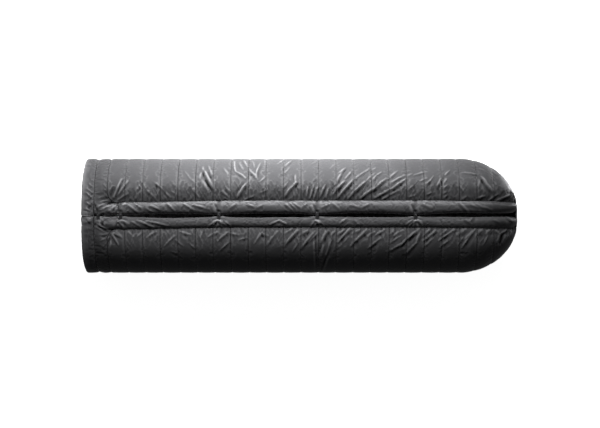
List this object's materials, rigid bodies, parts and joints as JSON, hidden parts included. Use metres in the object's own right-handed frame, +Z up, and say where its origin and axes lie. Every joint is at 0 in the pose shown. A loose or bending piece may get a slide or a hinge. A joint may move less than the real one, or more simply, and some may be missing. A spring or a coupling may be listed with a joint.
{
  "type": "camping quilt",
  "caption": "Down-filled camping quilt snapped into a tube, with crosswise chambers, two draft tubes along its opening and a closed rounded foot.",
  "frame": {"origin": "on the floor under the middle of the quilt as it lies on its back", "axes": "+X along the quilt from the open head end to the closed foot, +Z up through the lengthwise opening, +Y to the side that carries the studs"},
  "size_m": [1.9999, 0.524, 0.42],
  "materials": {
    "shell": "thin calendered nylon with a soft sheen, charcoal",
    "lining": "matt thin nylon, near black",
    "webbing": "matt black grosgrain",
    "press_snap": "black coated metal"
  },
  "bodies": {
    "quilt": {"hem_tube": "shell", "collar_tube": "shell", "baffle_01": "shell", "baffle_02": "shell", "baffle_03": "shell", "baffle_04": "shell", "baffle_05": "shell", "baffle_06": "shell", "baffle_07": "shell", "baffle_08": "shell", "baffle_09": "shell", "baffle_10": "shell", "baffle_11": "shell", "baffle_12": "shell", "baffle_13": "shell", "baffle_14": "shell", "baffle_15": "shell", "baffle_16": "shell", "baffle_17": "shell", "baffle_18": "shell", "baffle_19": "shell", "baffle_20": "shell", "baffle_21": "shell", "baffle_22": "shell", "foot_cap": "shell", "draft_tube_left": "shell", "draft_tube_right": "shell", "liner": "lining", "stud_tab_1": "webbing", "snap_stud_1": "press_snap", "stud_tab_2": "webbing", "snap_stud_2": "press_snap", "stud_tab_3": "webbing", "snap_stud_3": "press_snap", "stud_tab_4": "webbing", "snap_stud_4": "press_snap", "stud_tab_5": "webbing", "snap_stud_5": "press_snap"},
    "snap_flap_1": {"snap_tab_1": "webbing", "snap_cap_1": "press_snap", "snap_socket_1": "press_snap"},
    "snap_flap_2": {"snap_tab_2": "webbing", "snap_cap_2": "press_snap", "snap_socket_2": "press_snap"},
    "snap_flap_3": {"snap_tab_3": "webbing", "snap_cap_3": "press_snap", "snap_socket_3": "press_snap"},
    "snap_flap_4": {"snap_tab_4": "webbing", "snap_cap_4": "press_snap", "snap_socket_4": "press_snap"},
    "snap_flap_5": {"snap_tab_5": "webbing", "snap_cap_5": "press_snap", "snap_socket_5": "press_snap"}
  },
  "joints": [
    {"name": "snap_flap_1_lift", "type": "hinge", "parent": "quilt", "child": "snap_flap_1", "pos_m": [-0.921, -0.0185, 0.412], "axis": [1, 0, 0], "range_deg": [0, 140]},
    {"name": "snap_flap_2_lift", "type": "hinge", "parent": "quilt", "child": "snap_flap_2", "pos_m": [-0.821, -0.0185, 0.412], "axis": [1, 0, 0], "range_deg": [0, 140]},
    {"name": "snap_flap_3_lift", "type": "hinge", "parent": "quilt", "child": "snap_flap_3", "pos_m": [-0.37817, -0.0185, 0.412], "axis": [1, 0, 0], "range_deg": [0, 140]},
    {"name": "snap_flap_4_lift", "type": "hinge", "parent": "quilt", "child": "snap_flap_4", "pos_m": [0.06467, -0.0185, 0.412], "axis": [1, 0, 0], "range_deg": [0, 140]},
    {"name": "snap_flap_5_lift", "type": "hinge", "parent": "quilt", "child": "snap_flap_5", "pos_m": [0.5075, -0.0185, 0.412], "axis": [1, 0, 0], "range_deg": [0, 140]}
  ]
}
